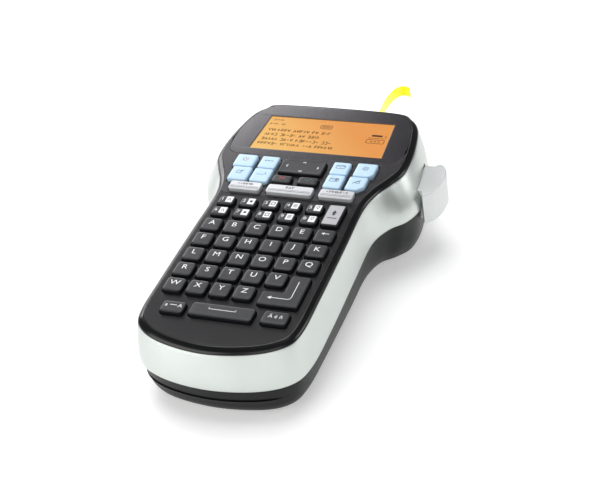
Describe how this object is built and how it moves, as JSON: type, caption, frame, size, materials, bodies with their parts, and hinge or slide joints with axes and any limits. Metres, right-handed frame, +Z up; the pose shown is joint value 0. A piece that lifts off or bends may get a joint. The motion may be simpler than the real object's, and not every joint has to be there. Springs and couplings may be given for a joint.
{
  "type": "label maker",
  "caption": "Handheld label maker with letter keyboard, amber display, side cutter lever, two underside doors and a printed label leaving the rear slot.",
  "frame": {"origin": "middle of the flat underside, 107 mm behind the front edge of the foot", "axes": "+Z up from the underside, +Y towards the display head, +X to the typist's right"},
  "size_m": [0.1263, 0.2387, 0.056],
  "materials": {
    "case_dark": "fine textured moulding",
    "shell_silver": "satin silver paint on plastic",
    "fascia_dark": "satin, lightly textured",
    "window_dark": "glossy tinted window",
    "display_amber": "backlit amber display",
    "board_green": "solder mask",
    "mat_grey": "silicone sheet",
    "lever_silver": "satin light grey moulding",
    "blade_steel": "ground steel",
    "cassette_white": "off-white moulding",
    "label_yellow": "laminated tape",
    "head_steel": "plain",
    "roller_rubber": "ground rubber",
    "gear_white": "acetal",
    "pinion_brass": "turned",
    "motor_steel": "plated can",
    "cell_sleeve": "printed sleeve, plain",
    "foot_rubber": "matte",
    "screw_steel": "plated",
    "key_dark": "semi-matte, white legends",
    "key_grey": "semi-matte",
    "key_blue": "semi-matte, dark icons",
    "key_silver": "satin silver, ribbed"
  },
  "bodies": {
    "case": {"lower_case": "case_dark", "silver_shell": "shell_silver", "top_fascia": "fascia_dark", "display_window": "window_dark", "display_panel": "display_amber", "circuit_board": "board_green", "keypad_mat": "mat_grey", "tape_cassette": "cassette_white", "label_tape": "label_yellow", "print_head": "head_steel", "drive_motor": "motor_steel", "battery_pack": "cell_sleeve", "rubber_feet": "foot_rubber", "case_screws": "screw_steel"},
    "platen": {"platen_roller": "roller_rubber", "drive_gear": "gear_white"},
    "key_a": {"key_a": "key_dark"},
    "key_b": {"key_b": "key_dark"},
    "key_c": {"key_c": "key_dark"},
    "key_d": {"key_d": "key_dark"},
    "key_e": {"key_e": "key_dark"},
    "key_f": {"key_f": "key_dark"},
    "key_g": {"key_g": "key_dark"},
    "key_h": {"key_h": "key_dark"},
    "key_i": {"key_i": "key_dark"},
    "key_j": {"key_j": "key_dark"},
    "key_k": {"key_k": "key_dark"},
    "key_l": {"key_l": "key_dark"},
    "key_m": {"key_m": "key_dark"},
    "key_n": {"key_n": "key_dark"},
    "key_o": {"key_o": "key_dark"},
    "key_p": {"key_p": "key_dark"},
    "key_q": {"key_q": "key_dark"},
    "key_r": {"key_r": "key_dark"},
    "key_s": {"key_s": "key_dark"},
    "key_t": {"key_t": "key_dark"},
    "key_u": {"key_u": "key_dark"},
    "key_v": {"key_v": "key_dark"},
    "key_w": {"key_w": "key_dark"},
    "key_x": {"key_x": "key_dark"},
    "key_y": {"key_y": "key_dark"},
    "key_z": {"key_z": "key_dark"},
    "shift_key": {"shift_key": "key_grey"},
    "backspace_key": {"backspace_key": "key_dark"},
    "enter_key": {"enter_key": "key_dark"},
    "caps_key": {"caps_key": "key_dark"},
    "space_key": {"space_key": "key_dark"},
    "accent_key": {"accent_key": "key_dark"},
    "cancel_key": {"cancel_key": "key_dark"},
    "ok_key": {"ok_key": "key_dark"},
    "digit_keys": {"digit_keys": "key_dark"},
    "function_keys": {"function_keys": "key_blue"},
    "bar_keys": {"bar_keys": "key_silver"},
    "navigation_key": {"navigation_key": "key_dark"},
    "cutter_lever": {"cutter_lever": "lever_silver"},
    "cutter_blade": {"cutter_blade": "blade_steel"},
    "cassette_door": {"cassette_door": "case_dark"},
    "battery_door": {"battery_door": "case_dark"},
    "tape_spool": {"tape_spool": "label_yellow"},
    "motor_pinion": {"motor_pinion": "pinion_brass"}
  },
  "joints": [
    {"name": "cutter_lever_squeeze", "type": "hinge", "parent": "case", "child": "cutter_lever", "pos_m": [0.042, 0.04553, 0.03104], "axis": [0, -0.0872, 0.9962], "range_deg": [0, 4.5], "stiffness_Nm_per_rad": 0.4},
    {"name": "cutter_blade_slide", "type": "slide", "parent": "case", "child": "cutter_blade", "axis": [-1, 0, 0], "range_m": [0, 0.0032]},
    {"name": "cassette_door_hinge", "type": "hinge", "parent": "case", "child": "cassette_door", "pos_m": [0, 0.0346, 0.0026], "axis": [1, 0, 0], "range_deg": [-95, 0]},
    {"name": "battery_door_hinge", "type": "hinge", "parent": "case", "child": "battery_door", "pos_m": [0, -0.073, 0.0026], "axis": [1, 0, 0], "range_deg": [-95, 0]},
    {"name": "tape_spool_spin", "type": "hinge", "parent": "case", "child": "tape_spool", "pos_m": [-0.009, 0.05579, 0.03997], "axis": [0, -0.0872, 0.9962], "continuous": true},
    {"name": "platen_spin", "type": "hinge", "parent": "case", "child": "platen", "pos_m": [0.0226, 0.08825, 0.04181], "axis": [0, -0.0872, 0.9962], "continuous": true},
    {"name": "motor_pinion_spin", "type": "hinge", "parent": "case", "child": "motor_pinion", "pos_m": [0.0278, 0.07989, 0.03405], "axis": [0, -0.0872, 0.9962], "continuous": true},
    {"name": "navigation_key_rock", "type": "hinge", "parent": "case", "child": "navigation_key", "pos_m": [-0.0005, 0.04, 0.04722], "axis": [1, 0, 0], "range_deg": [-2, 2], "stiffness_Nm_per_rad": 0.1},
    {"name": "key_a_press", "type": "slide", "parent": "case", "child": "key_a", "axis": [0, 0.0872, -0.9962], "range_m": [0, 0.001], "stiffness_N_per_m": 500},
    {"name": "key_b_press", "type": "slide", "parent": "case", "child": "key_b", "axis": [0, 0.0872, -0.9962], "range_m": [0, 0.001], "stiffness_N_per_m": 500},
    {"name": "key_c_press", "type": "slide", "parent": "case", "child": "key_c", "axis": [0, 0.0872, -0.9962], "range_m": [0, 0.001], "stiffness_N_per_m": 500},
    {"name": "key_d_press", "type": "slide", "parent": "case", "child": "key_d", "axis": [0, 0.0872, -0.9962], "range_m": [0, 0.001], "stiffness_N_per_m": 500},
    {"name": "key_e_press", "type": "slide", "parent": "case", "child": "key_e", "axis": [0, 0.0872, -0.9962], "range_m": [0, 0.001], "stiffness_N_per_m": 500},
    {"name": "key_f_press", "type": "slide", "parent": "case", "child": "key_f", "axis": [0, 0.0872, -0.9962], "range_m": [0, 0.001], "stiffness_N_per_m": 500},
    {"name": "key_g_press", "type": "slide", "parent": "case", "child": "key_g", "axis": [0, 0.0872, -0.9962], "range_m": [0, 0.001], "stiffness_N_per_m": 500},
    {"name": "key_h_press", "type": "slide", "parent": "case", "child": "key_h", "axis": [0, 0.0872, -0.9962], "range_m": [0, 0.001], "stiffness_N_per_m": 500},
    {"name": "key_i_press", "type": "slide", "parent": "case", "child": "key_i", "axis": [0, 0.0872, -0.9962], "range_m": [0, 0.001], "stiffness_N_per_m": 500},
    {"name": "key_j_press", "type": "slide", "parent": "case", "child": "key_j", "axis": [0, 0.0872, -0.9962], "range_m": [0, 0.001], "stiffness_N_per_m": 500},
    {"name": "key_k_press", "type": "slide", "parent": "case", "child": "key_k", "axis": [0, 0.0872, -0.9962], "range_m": [0, 0.001], "stiffness_N_per_m": 500},
    {"name": "key_l_press", "type": "slide", "parent": "case", "child": "key_l", "axis": [0, 0.0872, -0.9962], "range_m": [0, 0.001], "stiffness_N_per_m": 500},
    {"name": "key_m_press", "type": "slide", "parent": "case", "child": "key_m", "axis": [0, 0.0872, -0.9962], "range_m": [0, 0.001], "stiffness_N_per_m": 500},
    {"name": "key_n_press", "type": "slide", "parent": "case", "child": "key_n", "axis": [0, 0.0872, -0.9962], "range_m": [0, 0.001], "stiffness_N_per_m": 500},
    {"name": "key_o_press", "type": "slide", "parent": "case", "child": "key_o", "axis": [0, 0.0872, -0.9962], "range_m": [0, 0.001], "stiffness_N_per_m": 500},
    {"name": "key_p_press", "type": "slide", "parent": "case", "child": "key_p", "axis": [0, 0.0872, -0.9962], "range_m": [0, 0.001], "stiffness_N_per_m": 500},
    {"name": "key_q_press", "type": "slide", "parent": "case", "child": "key_q", "axis": [0, 0.0872, -0.9962], "range_m": [0, 0.001], "stiffness_N_per_m": 500},
    {"name": "key_r_press", "type": "slide", "parent": "case", "child": "key_r", "axis": [0, 0.0872, -0.9962], "range_m": [0, 0.001], "stiffness_N_per_m": 500},
    {"name": "key_s_press", "type": "slide", "parent": "case", "child": "key_s", "axis": [0, 0.0872, -0.9962], "range_m": [0, 0.001], "stiffness_N_per_m": 500},
    {"name": "key_t_press", "type": "slide", "parent": "case", "child": "key_t", "axis": [0, 0.0872, -0.9962], "range_m": [0, 0.001], "stiffness_N_per_m": 500},
    {"name": "key_u_press", "type": "slide", "parent": "case", "child": "key_u", "axis": [0, 0.0872, -0.9962], "range_m": [0, 0.001], "stiffness_N_per_m": 500},
    {"name": "key_v_press", "type": "slide", "parent": "case", "child": "key_v", "axis": [0, 0.0872, -0.9962], "range_m": [0, 0.001], "stiffness_N_per_m": 500},
    {"name": "key_w_press", "type": "slide", "parent": "case", "child": "key_w", "axis": [0, 0.0872, -0.9962], "range_m": [0, 0.001], "stiffness_N_per_m": 500},
    {"name": "key_x_press", "type": "slide", "parent": "case", "child": "key_x", "axis": [0, 0.0872, -0.9962], "range_m": [0, 0.001], "stiffness_N_per_m": 500},
    {"name": "key_y_press", "type": "slide", "parent": "case", "child": "key_y", "axis": [0, 0.0872, -0.9962], "range_m": [0, 0.001], "stiffness_N_per_m": 500},
    {"name": "key_z_press", "type": "slide", "parent": "case", "child": "key_z", "axis": [0, 0.0872, -0.9962], "range_m": [0, 0.001], "stiffness_N_per_m": 500},
    {"name": "shift_key_press", "type": "slide", "parent": "case", "child": "shift_key", "axis": [0, 0.0872, -0.9962], "range_m": [0, 0.001], "stiffness_N_per_m": 500},
    {"name": "backspace_key_press", "type": "slide", "parent": "case", "child": "backspace_key", "axis": [0, 0.0872, -0.9962], "range_m": [0, 0.001], "stiffness_N_per_m": 500},
    {"name": "enter_key_press", "type": "slide", "parent": "case", "child": "enter_key", "axis": [0, 0.0872, -0.9962], "range_m": [0, 0.001], "stiffness_N_per_m": 500},
    {"name": "caps_key_press", "type": "slide", "parent": "case", "child": "caps_key", "axis": [0, 0.0872, -0.9962], "range_m": [0, 0.001], "stiffness_N_per_m": 500},
    {"name": "space_key_press", "type": "slide", "parent": "case", "child": "space_key", "axis": [0, 0.0872, -0.9962], "range_m": [0, 0.001], "stiffness_N_per_m": 500},
    {"name": "accent_key_press", "type": "slide", "parent": "case", "child": "accent_key", "axis": [0, 0.0872, -0.9962], "range_m": [0, 0.001], "stiffness_N_per_m": 500},
    {"name": "cancel_key_press", "type": "slide", "parent": "case", "child": "cancel_key", "axis": [0, 0.0872, -0.9962], "range_m": [0, 0.001], "stiffness_N_per_m": 500},
    {"name": "ok_key_press", "type": "slide", "parent": "case", "child": "ok_key", "axis": [0, 0.0872, -0.9962], "range_m": [0, 0.001], "stiffness_N_per_m": 500},
    {"name": "digit_keys_press", "type": "slide", "parent": "case", "child": "digit_keys", "axis": [0, 0.0872, -0.9962], "range_m": [0, 0.001], "stiffness_N_per_m": 500},
    {"name": "function_keys_press", "type": "slide", "parent": "case", "child": "function_keys", "axis": [0, 0.0872, -0.9962], "range_m": [0, 0.001], "stiffness_N_per_m": 500},
    {"name": "bar_keys_press", "type": "slide", "parent": "case", "child": "bar_keys", "axis": [0, 0.0872, -0.9962], "range_m": [0, 0.001], "stiffness_N_per_m": 500}
  ],
  "couplings": [
    {"joint": "cutter_blade_slide", "follows": "cutter_lever_squeeze", "m_per_rad": 0.0407},
    {"joint": "platen_spin", "follows": "tape_spool_spin", "ratio": -4.0476},
    {"joint": "motor_pinion_spin", "follows": "tape_spool_spin", "ratio": 6.4762}
  ]
}
